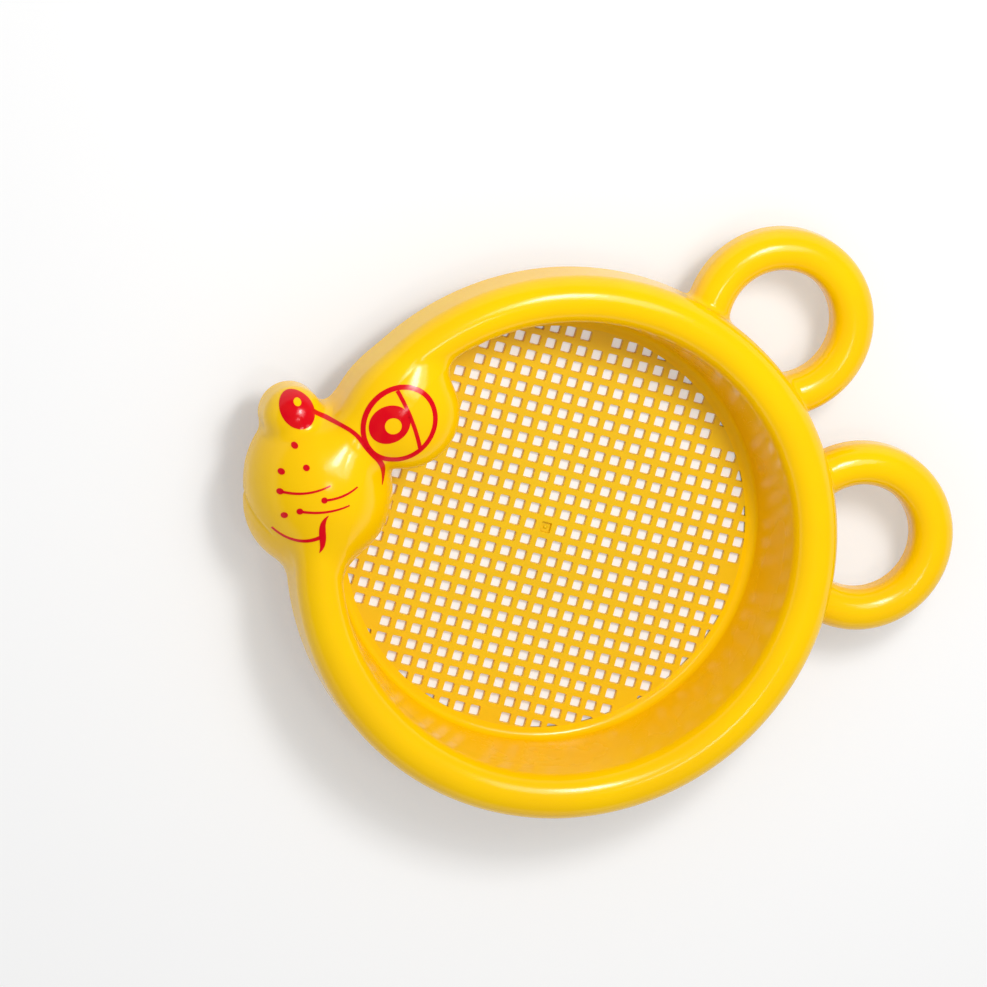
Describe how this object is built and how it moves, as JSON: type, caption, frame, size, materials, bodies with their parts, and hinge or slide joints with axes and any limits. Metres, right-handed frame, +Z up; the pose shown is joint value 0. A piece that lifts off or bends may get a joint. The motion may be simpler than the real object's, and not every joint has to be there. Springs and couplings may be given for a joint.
{
  "type": "sand sieve",
  "caption": "Round toy sand sieve with a square-mesh floor, a hollow half-round rim, ring handles as ears and a moulded animal face with printed features.",
  "frame": {"origin": "middle of the mesh, on the underside of the floor that the sieve stands on", "axes": "+Z up out of the bowl, the face towards -X, the mesh's bars along X and Y"},
  "size_m": [0.265, 0.2328, 0.0497],
  "materials": {
    "yellow_plastic": "gloss",
    "red_ink": "printed ink"
  },
  "bodies": {
    "root": {"rim": "yellow_plastic", "side_wall": "yellow_plastic", "floor_ring": "yellow_plastic", "sieve_mesh": "yellow_plastic", "ear_upper": "yellow_plastic", "ear_lower": "yellow_plastic", "muzzle": "yellow_plastic", "nose": "yellow_plastic", "eye_bulge": "yellow_plastic", "nose_print": "red_ink", "muzzle_line_print": "red_ink", "eye_ring_print": "red_ink", "eyelid_print": "red_ink", "iris_print": "red_ink", "freckle_prints": "red_ink", "whisker_prints": "red_ink", "mouth_print": "red_ink"}
  },
  "joints": []
}
